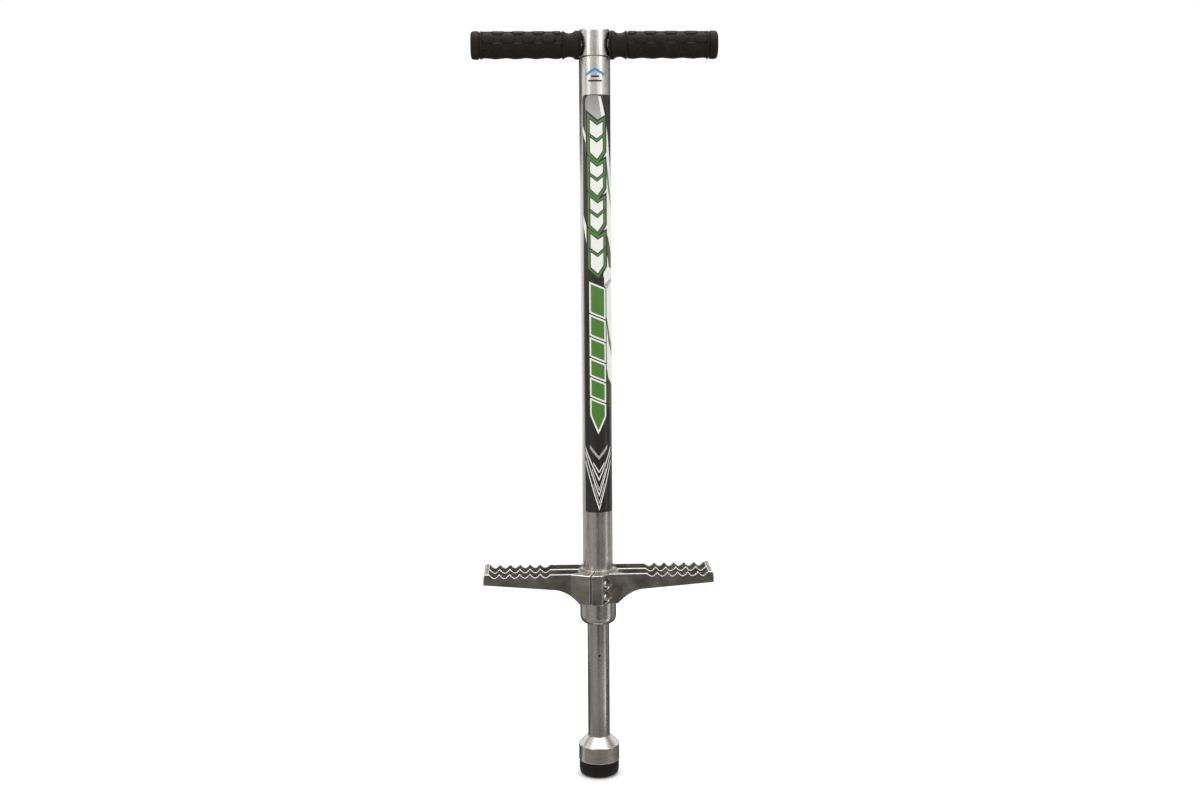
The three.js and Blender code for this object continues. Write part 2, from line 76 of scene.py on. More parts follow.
TUBE_R = high("frame_tube").x
PISTON_R = high("piston_tube").x
BAR_Z = middle_z("handlebar_tube")
BAR_R = high("handlebar_tube").z - BAR_Z
CAP_SEAM_Z = high("frame_tube").z
TOP_Z = high("head_cap").z
TUBE_WALL = 1.5
GAP = 0.3  # what the solids keep between touching pieces
SNUG = GAP / 2  # what is left of that gap where one piece sits on another
SCREW_HOLE_R = 3.3
CAST_LOW = low("footrest_casting")
CAST_HIGH = high("footrest_casting")


# ---- meshes ----

def face_out(bm):
    """Turns every face of a closed bmesh outwards."""
    bmesh.ops.recalc_face_normals(bm, faces=bm.faces)
    if bm.calc_volume(signed=True) < 0:
        bmesh.ops.reverse_faces(bm, faces=bm.faces)
    return bm


def soften(outline, radius, steps=4, closed=True):
    """Rounds the corners of an outline. A corner is (x, y) or (x, y, its own radius)."""
    most = 0.48  # of an edge, for one rounded corner
    guard = 1.03  # one more point on the flat, where the corner's shading ends
    count = len(outline)
    points = []
    for i, corner in enumerate(outline):
        here = Vector(corner[:2])
        reach = corner[2] if len(corner) > 2 else radius
        at_end = not closed and i in (0, count - 1)
        if at_end or reach <= 0:
            points.append(tuple(here))
            continue
        to_last = Vector(outline[i - 1][:2]) - here
        to_next = Vector(outline[(i + 1) % count][:2]) - here
        reach = min(reach, most * to_last.length, most * to_next.length)
        start = here + to_last.normalized() * reach
        end = here + to_next.normalized() * reach
        points.append(tuple(here + to_last.normalized() * reach * guard))
        for step in range(steps + 1):
            t = step / steps
            points.append(tuple(start.lerp(here, t).lerp(here.lerp(end, t), t)))
        points.append(tuple(here + to_next.normalized() * reach * guard))
    return points


def revolve(profile, sides=144, swell=None):
    """A bmesh of a closed profile of (radius, height) turned about Z. swell adds to the radius."""
    bm = bmesh.new()
    columns = []
    poles = {}
    for side in range(sides):
        angle = 2 * pi * side / sides
        column = []
        for index, (radius, height) in enumerate(profile):
            if radius < 1e-6:
                if index not in poles:
                    poles[index] = bm.verts.new((0, 0, height))
                column.append(poles[index])
                continue
            grown = radius + (swell(radius, height, angle) if swell else 0)
            column.append(bm.verts.new((grown * cos(angle), grown * sin(angle), height)))
        columns.append(column)
    for side in range(sides):
        here, after = columns[side], columns[(side + 1) % sides]
        for i in range(len(profile)):
            j = (i + 1) % len(profile)
            corners = list(dict.fromkeys((here[i], after[i], after[j], here[j])))
            if len(corners) > 2:
                bm.faces.new(corners)
    return face_out(bm)


def double_sheet(bm):
    """Closes a sheet with a copy of itself and walls round its rim, and returns the copy's points.
    The order of the faces is the same on every run, which it isn't after Blender's own extrude."""
    sheet = bm.faces[:]
    rim = [edge for edge in bm.edges if len(edge.link_faces) == 1]
    copies = {vert: bm.verts.new(vert.co) for vert in bm.verts[:]}
    for face in sheet:
        bm.faces.new([copies[vert] for vert in face.verts])
    for first, second in [edge.verts for edge in rim]:
        bm.faces.new((first, second, copies[second], copies[first]))
    return list(copies.values())


def extrude(outline, bottom, top):
    """A bmesh of an outline in X and Y between two heights."""
    bm = bmesh.new()
    bm.faces.new([bm.verts.new((x, y, bottom)) for x, y in outline])
    for vert in double_sheet(bm):
        vert.co.z = top
    return face_out(bm)


def slab(outline, front, back):
    """A bmesh of an outline in X and Z between two places along Y."""
    bm = extrude(outline, front, back)
    bm.transform(Matrix(((1, 0, 0, 0), (0, 0, 1, 0), (0, 1, 0, 0), (0, 0, 0, 1))))
    return face_out(bm)


def lay(shape, height, turn=AROUND_Y):
    """Turns a bmesh or a mesh drawn along Z onto another axis, at a height."""
    shape.transform(Matrix.Translation((0, 0, height)) @ turn)
    return shape


def add_object(name, data):
    obj = bpy.data.objects.new(name, data)
    bpy.context.scene.collection.objects.link(obj)
    return obj


def to_object(name, bm):
    mesh = bpy.data.meshes.new(name)
    bm.to_mesh(mesh)
    bm.free()
    return add_object(name, mesh)


def merge(name, parts):
    """One object of several bmeshes, which may overlap."""
    whole = bmesh.new()
    for part in parts:
        mesh = bpy.data.meshes.new("part")
        part.to_mesh(mesh)
        part.free()
        whole.from_mesh(mesh)
        bpy.data.meshes.remove(mesh)
    return to_object(name, whole)


def apply_modifiers(obj):
    evaluated = obj.evaluated_get(bpy.context.evaluated_depsgraph_get())
    mesh = bpy.data.meshes.new_from_object(evaluated)
    old = obj.data
    obj.modifiers.clear()
    obj.data = mesh
    bpy.data.meshes.remove(old)
    return obj


def carve(obj, tools):
    """Cuts bmeshes out of an object, one after another."""
    for tool in tools:
        cutter = to_object("cutter", tool.copy())
        modifier = obj.modifiers.new("carve", "BOOLEAN")
        modifier.operation = "DIFFERENCE"
        modifier.solver = "EXACT"
        modifier.object = cutter
        apply_modifiers(obj)
        bpy.data.objects.remove(cutter)
    return obj


def dress(obj, look, slot, *nodes, body="frame", sharp=40):
    """Turns a finished piece into metres, shades it, and hands it to the frame."""
    obj.data.transform(Matrix.Scale(MM, 4))
    obj.data.polygons.foreach_set("use_smooth", [True] * len(obj.data.polygons))
    obj.data.set_sharp_from_angle(angle=radians(sharp))
    obj.data.materials.clear()
    obj.data.materials.append(look)
    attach(obj, body)
    if nodes:
        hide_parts(*nodes)
    return obj


# ---- material nodes ----

class Look:
    """A procedural material: a Principled shader and the nodes that feed it."""

    def __init__(self, name, **sockets):
        self.material = bpy.data.materials.new(name)
        self.material.use_nodes = True
        self.nodes = self.material.node_tree.nodes
        self.links = self.material.node_tree.links
        self.shader = self.nodes["Principled BSDF"]
        self.place = self.nodes.new("ShaderNodeTexCoord").outputs["Object"]
        for key, value in sockets.items():
            self.shader.inputs[key.replace("_", " ")].default_value = value

    def fill(self, socket, value):
        """Links another node's output to a socket, or sets the socket to a plain value."""
        if isinstance(value, bpy.types.NodeSocket):
            self.links.new(value, socket)
        else:
            socket.default_value = value

    def add(self, kind, **inputs):
        node = self.nodes.new("ShaderNode" + kind)
        for key, value in inputs.items():
            self.fill(node.inputs[key.replace("_", " ")], value)
        return node

    def stretched(self, x, y, z):
        return self.add("Mapping", Scale=(x, y, z), Vector=self.place).outputs["Vector"]

    def noise(self, vector, scale=1.0, detail=3.0, roughness=0.55):
        node = self.add("TexNoise", Scale=scale, Detail=detail, Roughness=roughness, Vector=vector)
        return node.outputs["Fac"]

    def ramp(self, value, *stops):
        node = self.add("ValToRGB", Fac=value)
        points = node.color_ramp.elements
        while len(points) < len(stops):
            points.new(0.5)
        for point, (position, color) in zip(points, stops):
            point.position = position
            point.color = (*color, 1)
        return node.outputs["Color"]

    def spread(self, value, low_out, high_out, low_in=0.3, high_in=0.7):
        node = self.add("MapRange", Value=value, From_Min=low_in, From_Max=high_in, To_Min=low_out,
                        To_Max=high_out)
        return node.outputs["Result"]

    def blend(self, fac, first, second, kind="MIX"):
        node = self.add("Mix")
        node.data_type = "RGBA"
        node.blend_type = kind
        for index, value in ((0, fac), (6, first), (7, second)):
            self.fill(node.inputs[index], (*value, 1) if isinstance(value, tuple) else value)
        return node.outputs[2]

    def math(self, operation, first, second=0.0):
        node = self.add("Math")
        node.operation = operation
        for socket, value in zip(node.inputs, (first, second)):
            self.fill(socket, value)
        return node.outputs[0]

    def axis(self, name):
        return self.add("SeparateXYZ", Vector=self.place).outputs[name]

    def edges(self):
        """High where the surface bulges."""
        return self.add("NewGeometry").outputs["Pointiness"]

    def feed(self, socket, value):
        self.links.new(value, self.shader.inputs[socket])

    def bump(self, *layers):
        """Each layer is (height, distance in metres, strength)."""
        normal = None
        for height, distance, strength in layers:
            node = self.add("Bump", Height=height, Distance=distance, Strength=strength)
            if normal:
                self.links.new(normal, node.inputs["Normal"])
            normal = node.outputs["Normal"]
        self.feed("Normal", normal)

    def tangent(self, axis):
        node = self.add("Tangent")
        node.direction_type = "RADIAL"
        node.axis = axis
        self.feed("Tangent", node.outputs[0])


# ---- materials ----

def brushed_aluminium(name, axis, tone, rough):
    """Drawn tube: fine lines along its own axis, soft stains and a few handling marks."""
    look = Look(name, Metallic=1.0, Anisotropic=0.45)
    along = {"X": (14, 2600, 2600), "Z": (2600, 2600, 14)}[axis]
    wide = {"X": (3, 420, 420), "Z": (420, 420, 3)}[axis]
    lines = look.noise(look.stretched(*along), detail=4)
    bands = look.noise(look.stretched(*wide), detail=2)
    stains = look.noise(look.place, scale=38, detail=5, roughness=0.65)
    light = tuple(min(1, channel * 1.08) for channel in tone)
    dark = tuple(channel * 0.86 for channel in tone)
    base = look.ramp(bands, (0.3, dark), (0.7, light))
    fine = look.ramp(lines, (0.3, (0.9, 0.9, 0.9)), (0.65, (1, 1, 1)))
    base = look.blend(0.8, base, fine, "MULTIPLY")
    worn = look.ramp(stains, (0.35, (0.93, 0.92, 0.9)), (0.6, (1, 1, 1)))
    look.feed("Base Color", look.blend(1.0, base, worn, "MULTIPLY"))
    streaky = look.spread(lines, rough * 0.75, rough * 1.3)
    smudged = look.spread(stains, -0.04, 0.06)
    look.feed("Roughness", look.math("ADD", streaky, smudged))
    look.bump((lines, 0.00004, 0.5), (bands, 0.00015, 0.35))
    look.tangent(axis)
    return look.material


def cast_aluminium():
    """Tumbled casting: clouded grey, a fine grain, and near-white metal on the bulging edges, partly
    worn bare and partly a painted highlight.
    """
    look = Look("cast_aluminium", Metallic=1.0)
    clouds = look.noise(look.place, scale=60, detail=6, roughness=0.65)
    grain = look.noise(look.place, scale=900, detail=3)
    pits = look.noise(look.place, scale=2600, detail=2)
    # painted highlight: the bulging edges are made near-white, partly worn bare metal and partly
    # standing in for the highlights that light puts on them
    worn = look.spread(look.edges(), 0.0, 1.0, 0.504, 0.535)
    base = look.ramp(clouds, (0.3, (0.255, 0.232, 0.202)), (0.55, (0.35, 0.325, 0.29)),
                     (0.75, (0.46, 0.435, 0.4)))
    base = look.blend(0.5, base, look.ramp(grain, (0.35, (0.8, 0.79, 0.77)), (0.6, (1, 1, 1))),
                      "MULTIPLY")
    look.feed("Base Color", look.blend(worn, base, (0.93, 0.92, 0.9)))
    rough = look.spread(clouds, 0.3, 0.46)
    look.feed("Roughness", look.math("SUBTRACT", rough, look.math("MULTIPLY", worn, 0.1)))
    look.bump((clouds, 0.0006, 0.35), (grain, 0.00012, 0.5), (pits, 0.00004, 0.4))
    return look.material


def turned_aluminium():
    """Lathe-turned: fine rings round the axis."""
    look = Look("turned_aluminium", Metallic=1.0, Anisotropic=0.3)
    rings = look.noise(look.stretched(30, 30, 4200), detail=3)
    clouds = look.noise(look.place, scale=90, detail=4)
    base = look.ramp(rings, (0.3, (0.66, 0.645, 0.625)), (0.7, (0.76, 0.745, 0.725)))
    look.feed("Base Color", look.blend(
        1.0, base, look.ramp(clouds, (0.3, (0.85, 0.84, 0.82)), (0.65, (1, 1, 1))), "MULTIPLY"))
    look.feed("Roughness", look.spread(rings, 0.2, 0.28))
    look.bump((rings, 0.00003, 0.22), (clouds, 0.0002, 0.15))
    look.tangent("Z")
    return look.material


def zinc_steel():
    look = Look("zinc_steel", Metallic=1.0)
    clouds = look.noise(look.place, scale=400, detail=4)
    fine = look.noise(look.place, scale=3000, detail=2)
    look.feed("Base Color", look.ramp(clouds, (0.3, (0.62, 0.62, 0.61)), (0.7, (0.85, 0.85, 0.84))))
    look.feed("Roughness", look.spread(clouds, 0.22, 0.4))
    look.bump((fine, 0.00003, 0.4))
    return look.material


def spring_steel():
    look = Look("spring_steel", Metallic=1.0)
    scale = look.noise(look.place, scale=300, detail=5)
    look.feed("Base Color", look.ramp(scale, (0.3, (0.12, 0.12, 0.13)), (0.7, (0.27, 0.27, 0.29))))
    look.feed("Roughness", look.spread(scale, 0.28, 0.5))
    look.bump((scale, 0.0001, 0.3))
    return look.material


def black_rubber(name, tone, rough, grain_scale):
    """Moulded rubber: fine leather-like grain, dust on the raised places."""
    look = Look(name, Specular_IOR_Level=0.16)
    dust = look.noise(look.place, scale=110, detail=6, roughness=0.7)
    grain = look.noise(look.place, scale=grain_scale, detail=3)
    dark = tuple(channel * 0.72 for channel in tone)
    pale = tuple(channel * 1.7 for channel in tone)
    base = look.ramp(dust, (0.32, dark), (0.55, tone), (0.78, pale))
    rubbed = look.spread(look.edges(), 0.0, 0.55, 0.51, 0.58)
    look.feed("Base Color", look.blend(rubbed, base, pale))
    look.feed("Roughness", look.spread(dust, rough - 0.1, rough + 0.1))
    look.bump((grain, 0.00018, 0.5), (dust, 0.0004, 0.2))
    return look.material


def nylon():
    look = Look("nylon", Roughness=0.45, Subsurface_Weight=0.1)
    clouds = look.noise(look.place, scale=120, detail=4)
    rings = look.noise(look.stretched(20, 20, 1800), detail=2)
    look.feed("Base Color", look.ramp(clouds, (0.3, (0.72, 0.7, 0.62)), (0.7, (0.84, 0.82, 0.75))))
    look.bump((rings, 0.00006, 0.3))
    return look.material


def film_ink(name, tone, fade=None):
    """Glossy printed vinyl. fade is (colour, lowest z, highest z): a second ink fades in upwards."""
    look = Look(name, Coat_Weight=0.35, Coat_Roughness=0.12)
    mottle = look.noise(look.place, scale=320, detail=4)
    orange_peel = look.noise(look.place, scale=1500, detail=2)
    scuff = look.noise(look.stretched(500, 500, 40), detail=5, roughness=0.7)
    base = tone
    if fade:
        other, bottom, top = fade
        rise = look.spread(look.axis("Z"), 0.0, 1.0, bottom * MM, top * MM)
        base = look.blend(rise, tone, other)
    shade = look.ramp(mottle, (0.3, (0.9, 0.9, 0.9)), (0.7, (1, 1, 1)))
    look.feed("Base Color", look.blend(0.8, base, shade, "MULTIPLY"))
    look.feed("Roughness", look.spread(scuff, 0.22, 0.42))
    look.bump((orange_peel, 0.00003, 0.3))
    return look.material


def floor_paper():
    look = Look("floor_paper", Roughness=0.85, Specular_IOR_Level=0)
    fibre = look.noise(look.place, scale=220, detail=4)
    look.feed("Base Color", look.ramp(fibre, (0.3, (0.86, 0.86, 0.86)), (0.7, (0.9, 0.9, 0.9))))
    look.bump((fibre, 0.0002, 0.1))
    return look.material


TUBE_LOOK = brushed_aluminium("tube_aluminium", "Z", (0.78, 0.76, 0.735), 0.27)
CAP_LOOK = brushed_aluminium("cap_aluminium", "Z", (0.69, 0.68, 0.665), 0.26)
BAR_LOOK = brushed_aluminium("bar_aluminium", "X", (0.8, 0.79, 0.77), 0.25)
# The piston's darker, browner tone is painted shade: it stands in for the darker surroundings that the
# piston reflects.
PISTON_SHADED_LOOK = brushed_aluminium("piston_aluminium_painted_shade", "Z", (0.64, 0.615, 0.575), 0.24)
CAST_LOOK = cast_aluminium()
TURNED_LOOK = turned_aluminium()
ZINC_LOOK = zinc_steel()
SPRING_LOOK = spring_steel()
GRIP_LOOK = black_rubber("grip_rubber", (0.0105, 0.0078, 0.0058), 0.62, 1400)
FOOT_LOOK = black_rubber("foot_rubber", (0.006, 0.0048, 0.0038), 0.7, 1100)
NYLON_LOOK = nylon()


# ---- round metal pieces of the frame ----

def ring_profile(inner, outer, bottom, top, corner):
    return soften([(inner, bottom), (outer, bottom), (outer, top), (inner, top)], corner)


def rod(radius, bottom, top):
    return [(0, bottom), (radius, bottom), (radius, top), (0, top)]


def make_tube():
    bottom, top = span_z("frame_tube")
    bm = revolve(ring_profile(TUBE_R - TUBE_WALL, TUBE_R, bottom, top, 0.7), 192)
    dress(to_object("tube_shell", bm), TUBE_LOOK, "brushed_aluminium", "frame_tube")


def make_head_cap():
    """The cap over the tube, with its plug, the dark seam above the tube, and the cross bore that the
    handlebar goes through."""
    bottom = low("head_cap").z
    plug_r = TUBE_R - TUBE_WALL - GAP
    seam_r = plug_r - 3
    seam_top = CAP_SEAM_Z + 1.0
    profile = soften([
        (0, bottom, 0), (plug_r, bottom, 1), (plug_r, CAP_SEAM_Z - 3, 0), (seam_r, CAP_SEAM_Z - 2, 0),
        (seam_r, seam_top, 0), (TUBE_R, seam_top, 0.9), (TUBE_R, TOP_Z, 4.2), (0, TOP_Z, 0),
    ], 0.5, steps=7)
    cap = to_object("head_cap_shell", revolve(profile, 192))
    bore = revolve(ring_profile(0, BAR_R + GAP, -TUBE_R - 4, TUBE_R + 4, 0), 96)
    screw_hole = revolve(rod(SCREW_HOLE_R, BAR_Z, TOP_Z + 2), 48)
    carve(cap, [lay(bore, BAR_Z, AROUND_X), screw_hole])
    dress(cap, CAP_LOOK, "brushed_aluminium", "head_cap")


def make_handlebar():
    end = high("handlebar_tube").x
    bar_wall = 1.6
    bm = lay(revolve(ring_profile(BAR_R - bar_wall, BAR_R, -end, end, 0.3), 96), BAR_Z, AROUND_X)
    dress(to_object("handlebar_shell", bm), BAR_LOOK, "brushed_aluminium", "handlebar_tube")


def make_rivets():
    """Blind rivets behind, with a dimple in the middle of each head."""
    for node in ("head_rivet_upper", "head_rivet_lower"):
        tip = low(node).y
        seat = TUBE_R + 0.05
        dimple = TUBE_R + 0.9
        profile = soften([
            (0, tip, 0), (2, tip), (2, seat), (4, seat, 0.3), (3.7, TUBE_R + 0.8, 0.5),
            (1.4, TUBE_R + 1.45, 0.6), (0.9, dimple, 0.2), (0, dimple, 0),
        ], 0.2)
        bm = lay(revolve(profile, 48), middle_z(node))
        dress(to_object(node + "_fine", bm), ZINC_LOOK, "zinc_steel", node)


def socket_screw(profile, socket_r, depth, top, name):
    """A screw turned from a profile, with a hexagon socket sunk from its top."""
    screw = to_object(name, revolve(profile, 64))
    turns = [radians(60 * i) for i in range(6)]
    hexagon = soften([(socket_r * cos(turn), socket_r * sin(turn)) for turn in turns],
                     0.15, steps=2)
    return carve(screw, [extrude(hexagon, top - depth, top + 2)])


def grub_screw(name, bottom, top):
    profile = soften([(0, bottom, 0), (3, bottom), (3, top), (0, top, 0)], 0.4)
    return socket_screw(profile, 1.6, 3, top, name)


def make_grub_screws():
    """One stands in the head cap's top, and the other lies in the back of the ferrule."""
    node = "handlebar_set_screw"
    screw = grub_screw("handlebar_grub_screw", *span_z(node))
    dress(screw, ZINC_LOOK, "zinc_steel", node)
    node = "foot_set_screw"
    screw = grub_screw("foot_grub_screw", low(node).y, high(node).y)
    lay(screw.data, middle_z(node))
    dress(screw, ZINC_LOOK, "zinc_steel", node, body="piston")


def make_seat_pin():
    """Its rear end is peened over just above the tube, and its front end lies under the decal."""
    front, back = low("seat_pin").y, TUBE_R + 0.35
    profile = soften([(0, front, 0), (3, front), (3, back - 0.4), (2.2, back), (0, back, 0)], 0.3)
    bm = lay(revolve(profile, 48), middle_z("seat_pin"))
    dress(to_object("seat_pin_fine", bm), ZINC_LOOK, "zinc_steel", "seat_pin")


def make_lower_cap():
    """The collar: its lower edge is rounded as a quarter of an ellipse."""
    bottom, top = span_z("lower_cap")
    outer = high("lower_cap").x
    bore = PISTON_R + 0.5
    lip_top = bottom + 4
    round_in, round_up = 8.2, 9.8
    rounding = []
    for step in range(-17, 1):
        turn = radians(5 * step)
        across = outer - round_in + round_in * cos(turn)
        rounding.append((across, bottom + round_up + round_up * sin(turn), 0))
    profile = soften([(bore, bottom + 0.1, 0.3)] + rounding + [
        (outer, top - 1.6, 1.0), (outer - 1.3, top, 0.6), (TUBE_R + SNUG, top, 0.2),
        (TUBE_R + SNUG, lip_top, 0.2), (bore, lip_top, 0.3),
    ], 0.5, steps=5)
    dress(to_object("lower_cap_shell", revolve(profile, 160)), TURNED_LOOK, "turned_aluminium",
          "lower_cap")


# ---- grips ----

GRIP_BODY_R = 15.3
KNOB_HEIGHT = 1.6
KNOB_PITCH = 24.6  # along the grip, within a row
FIRST_KNOB = 21.3  # along the grip, in the even rows
KNOB_LENGTH = 14
KNOB_WIDTH = 12.6
KNOB_ROWS = 8
FIRST_ROW_ANGLE = radians(-18)
FINGER_PITCH = 24.8
BODY_START = 18.5  # from the grip's inner end to the knobbed body
BODY_END = 14  # from the knobbed body to the grip's outer end
BODY_STEP = 0.6  # between the rings of points that the knobs are shaped from
FLANGE_R = 17.4
FLANGE_BEND_R = 60  # of the grips' inner ends
RING_BEND_R = 46  # of the rings


def smooth_step(low_edge, high_edge, value):
    t = max(0.0, min(1.0, (value - low_edge) / (high_edge - low_edge)))
    return t * t * (3 - 2 * t)


def knob(along, angle):
    """How much of a knob there is at a place: staggered rows of flat-topped hexagons."""
    row_angle = 2 * pi / KNOB_ROWS
    most = 0.0
    nearest = floor((angle - FIRST_ROW_ANGLE) / row_angle)
    for row in (nearest - 1, nearest, nearest + 1, nearest + 2):
        shift = KNOB_PITCH / 2 if row % 2 else 0
        beside = (along - FIRST_KNOB - shift) / KNOB_PITCH
        beside = abs(beside - round(beside)) * KNOB_PITCH / (KNOB_LENGTH / 2)
        across = abs(angle - FIRST_ROW_ANGLE - row * row_angle) * GRIP_BODY_R / (KNOB_WIDTH / 2)
        edge = max(across, beside + 0.5 * across - 0.25)
        most = max(most, 1 - smooth_step(0.84, 1.08, edge))
    return most


def grip_swell(start, end):
    """The knobs on the top and sides, and shallow finger waves underneath."""
    def swell(radius, height, angle):
        inside = smooth_step(start + 18, start + 20, height)
        inside *= 1 - smooth_step(end - 15, end - 13.5, height)
        if abs(radius - GRIP_BODY_R) > 0.3 or inside <= 0:
            return 0
        below = smooth_step(0.3, 0.75, -sin(angle))
        knobs = KNOB_HEIGHT * knob(height - start, angle)
        fingers = 0.5 + 0.4 * cos(2 * pi * (height - start) / FINGER_PITCH)
        return inside * (knobs * (1 - 0.8 * below) + fingers * below)
    return swell


def grip_profile(start, end, bar_end):
    """From the bore round the flange, the neck, the knobbed body and the end band."""
    bore = BAR_R + SNUG
    body = GRIP_BODY_R
    corners = [
        (0, bar_end + GAP, 0), (bore, bar_end + GAP, 0), (bore, start, 0.4), (FLANGE_R, start, 0.2),
        (17.2, start + 1.6, 0.8), (14.6, start + 4.6, 2.2), (13.9, start + 10.0, 3.0),
        (16.0, start + 15.0, 0.7), (17.1, start + 15.6, 0.5), (17.1, start + 16.8, 0.5),
        (body, start + 17.6, 0.5),
    ]
    count = int((end - start - BODY_START - BODY_END) / BODY_STEP)
    corners += [(body, start + BODY_START + BODY_STEP * i, 0) for i in range(count)]
    corners += [
        (body, end - 14.2, 0.4), (16.8, end - 13.4, 0.6), (16.8, end - 11.6, 0.6),
        (15.6, end - 10.9, 0.4), (15.6, end - 10.1, 0.4), (17.0, end - 9.3, 0.8),
        (17.0, end, 6), (4.0, end, 0.6), (3.4, end - 0.7, 0.4), (0, end - 0.7, 0),
    ]
    return soften(corners, 0.4, steps=5)


def sag(bend_r, across):
    """How far a face bent round a cylinder lies behind its middle."""
    return bend_r - sqrt(bend_r ** 2 - across ** 2)


def make_grips():
    start, end = low("right_grip").x, high("right_grip").x
    profile = grip_profile(start, end, high("handlebar_tube").x)
    for side, turn in (("right", 1), ("left", -1)):
        bm = revolve(profile, 224, grip_swell(start, end))
        for vert in bm.verts:
            flange = 1 - smooth_step(0, 6, vert.co.z - start)
            vert.co.z -= flange * sag(FLANGE_BEND_R, vert.co.x)
        bm.transform(Matrix(((0, 0, turn, 0), (-1, 0, 0, 0), (0, 1, 0, BAR_Z), (0, 0, 0, 1))))
        face_out(bm)
        dress(to_object(side + "_grip_rubber", bm), GRIP_LOOK, "black_rubber",
              side + "_grip", sharp=55)


def make_grip_rings():
    """Rubber rings whose fronts and backs are pressed round the head cap."""
    thick = 2.75
    for side, turn in (("right", 1), ("left", -1)):
        bm = revolve(ring_profile(BAR_R + 1.4, FLANGE_R, 0, thick, 0.7), 128)
        for vert in bm.verts:
            vert.co.z -= sag(RING_BEND_R, vert.co.y)
        place_x = turn * (TUBE_R + SNUG)
        bm.transform(Matrix(((0, 0, turn, place_x), (0, turn, 0, 0), (-1, 0, 0, BAR_Z), (0, 0, 0, 1))))
        face_out(bm)
        dress(to_object(side + "_ring_rubber", bm), GRIP_LOOK, "black_rubber",
              side + "_grip_ring", sharp=60)


# ---- footrest casting ----

RAIL_Z = 269.8
VALLEY_Z = 266.0
TOOTH_PITCH = 12.8
TEETH = 6
FIRST_VALLEY_X = 67.0
WALL = 4.0
ARM_FRONT_Y = -29.5
ARM_END_Z = 257  # the lower edge of an arm's outer end
GUSSET_START_X = 24
GUSSET_END_X = 53
HUB_R = 26.0
HUB_TOP_Z = 270.8
SLOT_ANGLE = radians(14.5)
CLAMP_BOLTS = ("clamp_bolt_upper", "clamp_bolt_lower")
BOLT_AXIS_R = 30.5
BOLT_SEAT = 11.5  # from the middle of the slot to the heads' undersides
CUTTER_LOW_Z = CAST_LOW.z - 3  # past the casting's lower face
CUTTER_HIGH_Z = CAST_HIGH.z + 3


def toothed_edge():
    """The upper edge of a wall from its first valley outwards: a round scoop blended with a wave."""
    crest = CAST_HIGH.z
    points = []
    half = TOOTH_PITCH / 2
    scoop_part = 0.95  # how much of a half circle the scoop is
    steps = 10
    for tooth in range(TEETH):
        middle = FIRST_VALLEY_X + tooth * TOOTH_PITCH
        for i in range(-steps, steps):
            part = i / steps
            top = RAIL_Z if tooth == 0 and part < 0 else crest
            scoop = sag(1, scoop_part * part) / sag(1, scoop_part)
            wave = (1 - cos(pi * part)) / 2
            rise = 0.45 * scoop + 0.55 * wave
            points.append((middle + part * half, VALLEY_Z + (top - VALLEY_Z) * rise))
    points.append((FIRST_VALLEY_X + (TEETH - 0.5) * TOOTH_PITCH, crest))
    return points


def gusset():
    """The curved underside between an arm and the clamp."""
    start, end = Vector((GUSSET_START_X, CAST_LOW.z)), Vector((GUSSET_END_X, 249.4))
    control = Vector((38, 246.5))
    return [tuple(start.lerp(control, t).lerp(control.lerp(end, t), t))
            for t in (i / 12 for i in range(13))]


def arm_wall(inner, side):
    end = CAST_HIGH.x
    crest = CAST_HIGH.z
    outline = [(inner, CAST_LOW.z)] + gusset() + [(end, ARM_END_Z)]
    tip = [(end, ARM_END_Z), (end - 0.8, crest), (end - 12, crest)]
    outline += soften(tip, 3.5, 5, closed=False)[1:-1]
    outline += list(reversed(toothed_edge())) + [(inner, RAIL_Z)]
    return [(side * x, z) for x, z in outline]


def arm_walls(side):
    """The three toothed walls of one arm, and the wall across its outer end."""
    front, back = ARM_FRONT_Y, CAST_HIGH.y
    end = CAST_HIGH.x
    crest = CAST_HIGH.z - 0.4
    cross = [
        (end - 5.5, ARM_END_Z), (end, ARM_END_Z), (end - 0.8, crest - 2.6), (end - 3, crest),
        (end - 7, crest),
    ]
    cross = [(side * x, z) for x, z in cross]
    return [
        slab(arm_wall(10, side), front, front + WALL),
        slab(arm_wall(21, side), -WALL / 2, WALL / 2),
        slab(arm_wall(10, side), back - WALL, back),
        slab(cross, front, back),
    ]


def along_bolt(shape, node):
    """Lays a screw or a bore, drawn along Z from the middle of the slot, on a clamp bolt's axis."""
    out = Matrix.Translation((0, -BOLT_AXIS_R, middle_z(node)))
    shape.transform(Matrix.Rotation(-SLOT_ANGLE, 4, "Z") @ out @ AROUND_X)
    return shape


def casting_hub():
    return revolve(soften([
        (0, CAST_LOW.z, 0), (HUB_R - 1, CAST_LOW.z, 0.8), (HUB_R, CAST_LOW.z + 1, 0.8),
        (HUB_R, HUB_TOP_Z - 2.2, 0.8), (TUBE_R + 1.2, HUB_TOP_Z, 0.5), (0, HUB_TOP_Z, 0),
    ], 0.5), 128)


def casting_back():
    """The bulge behind the hub that carries the back walls."""
    return extrude(soften([
        (-15, 18), (15, 18), (23, 26), (36, 27), (36, 29.2), (-36, 29.2), (-36, 27), (-23, 26),
    ], 4), CAST_LOW.z, RAIL_Z - 0.02)


def casting_clamp():
    """The clamp: a flat front, and on the right a face that slants back to the arm."""
    flank = ARM_FRONT_Y + 0.4
    return extrude(soften([
        (-36, flank, 0.5), (-27, -33.2, 9), (-11.5, CAST_LOW.y, 2.2), (4, CAST_LOW.y, 1.6),
        (13.2, -29.3, 1.2), (36, flank, 0.5), (36, -26.5, 0.5), (20, -16, 2), (-20, -16, 2),
        (-36, -26.5, 0.5),
    ], 2), CAST_LOW.z + 0.01, RAIL_Z - 0.01)


